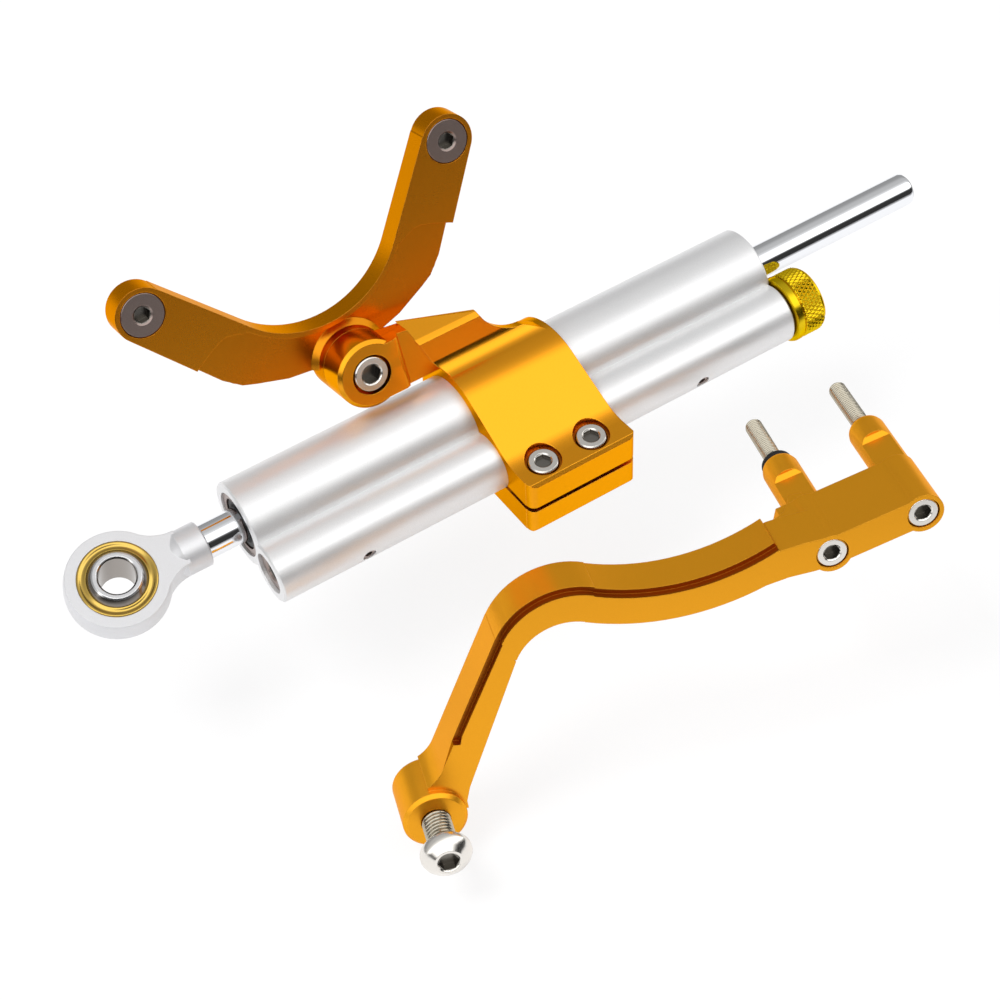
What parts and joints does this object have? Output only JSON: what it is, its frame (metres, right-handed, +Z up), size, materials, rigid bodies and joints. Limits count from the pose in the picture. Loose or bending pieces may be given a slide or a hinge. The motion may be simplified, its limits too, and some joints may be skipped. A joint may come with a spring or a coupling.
{
  "type": "motorcycle steering damper",
  "caption": "Linear steering damper with spherical rod end, adjuster knob, gold pinch clamp, pivoting crescent bracket and a loose gold S-shaped arm bracket with its bolts.",
  "frame": {"origin": "centre of the rod end's ball, where its bore axis crosses the piston rod's axis", "axes": "+X along the piston rod from the rod end towards the adjuster knob, +Z up, away from the clamp tab's underside, +Y towards the crescent bracket"},
  "size_m": [0.2766, 0.1516, 0.1294],
  "materials": {
    "satin_body": "bead-blasted and clear anodised",
    "gold_anodise": "orange-gold anodised, fine machined satin",
    "dark_gold_anodise": "darker orange-gold anodised, satin",
    "knob_anodise": "yellow-gold anodised",
    "chromed_rod": "hard chromed and polished",
    "stainless": "plain stainless, lightly polished",
    "dark_steel": "darkened steel",
    "polished_steel": "polished steel",
    "brass_race": "plain brass",
    "gland_alloy": "dark grey anodised",
    "black_rubber": "black rubber",
    "ring_plastic": "filled bearing plastic"
  },
  "bodies": {
    "damper": {"damper_body": "satin_body", "gland_left": "gland_alloy", "gland_right": "gland_alloy", "wiper_left": "black_rubber", "wiper_right": "black_rubber", "clip_left": "dark_steel", "clip_right": "dark_steel", "bypass_plug": "dark_steel", "plug_o_ring": "black_rubber", "grub_screws": "dark_steel", "detent_ball": "polished_steel", "clamp": "gold_anodise", "clamp_bolts": "stainless"},
    "rod_carrier": {"piston_ring": "ring_plastic"},
    "rod": {"piston": "gland_alloy", "piston_rod": "chromed_rod", "rod_end_housing": "polished_steel", "rod_end_race": "brass_race"},
    "ball": {"rod_end_ball": "polished_steel"},
    "adjuster": {"adjuster_knob": "knob_anodise", "adjuster_spindle": "stainless", "spindle_o_ring": "black_rubber"},
    "crescent": {"crescent_bracket": "dark_gold_anodise", "bracket_screw_left": "dark_steel", "bracket_screw_right": "dark_steel", "pivot_bolt": "stainless", "pivot_bush": "brass_race"},
    "arm": {"arm_bracket": "gold_anodise", "arm_bolt_left": "stainless", "arm_bolt_right": "stainless", "arm_o_ring": "black_rubber", "button_bolt": "stainless"}
  },
  "joints": [
    {"name": "rod_slide", "type": "slide", "parent": "damper", "child": "rod_carrier", "axis": [1, 0, 0], "range_m": [-0.055, 0.008]},
    {"name": "rod_turn", "type": "hinge", "parent": "rod_carrier", "child": "rod", "pos_m": [0.1, 0, 0], "axis": [1, 0, 0], "continuous": true},
    {"name": "ball_tilt", "type": "hinge", "parent": "rod", "child": "ball", "pos_m": [0, 0, 0], "axis": [0, 0.9608, 0.2773], "range_deg": [-12, 12]},
    {"name": "knob_turn", "type": "hinge", "parent": "damper", "child": "adjuster", "pos_m": [0.2031, -0.0162, -0.00367], "axis": [1, 0, 0], "continuous": true},
    {"name": "crescent_pivot", "type": "hinge", "parent": "damper", "child": "crescent", "pos_m": [0.08335, 0.01027, 0.02348], "axis": [0, -0.9304, 0.3665], "range_deg": [-14, 10]},
    {"name": "arm_lift", "type": "slide", "parent": "damper", "child": "arm", "axis": [0, 0, 1], "range_m": [0, 0.02]}
  ]
}
